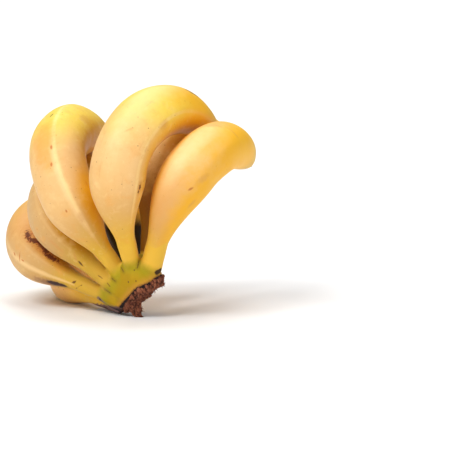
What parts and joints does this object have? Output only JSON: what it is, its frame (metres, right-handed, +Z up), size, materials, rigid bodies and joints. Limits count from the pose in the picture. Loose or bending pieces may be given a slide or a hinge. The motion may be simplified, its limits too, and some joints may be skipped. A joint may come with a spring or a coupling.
{
  "type": "hand of bananas",
  "caption": "A cluster of ripe bananas joined at a green crown with a dry torn cut, curling the same way, lying on its crown and its lowest fruit.",
  "frame": {"origin": "on the table, under the middle of the object's box", "axes": "+Z up from the table; -Y towards the side that the picture shows, with the crown at the front and the fruit's tips at the back"},
  "size_m": [0.1687, 0.1886, 0.1544],
  "materials": {
    "peel": "satin",
    "dry_tip": "matte",
    "crown_green": "satin",
    "torn_wood": "rough"
  },
  "bodies": {
    "root": {"finger_1": "peel", "finger_2": "peel", "finger_3": "peel", "finger_4": "peel", "finger_5": "peel", "finger_6": "peel", "finger_7": "peel", "finger_8": "peel", "blossom_tip_1": "dry_tip", "blossom_tip_2": "dry_tip", "blossom_tip_3": "dry_tip", "blossom_tip_4": "dry_tip", "blossom_tip_5": "dry_tip", "blossom_tip_6": "dry_tip", "blossom_tip_7": "dry_tip", "blossom_tip_8": "dry_tip", "crown": "crown_green", "crown_cut": "torn_wood"}
  },
  "joints": []
}
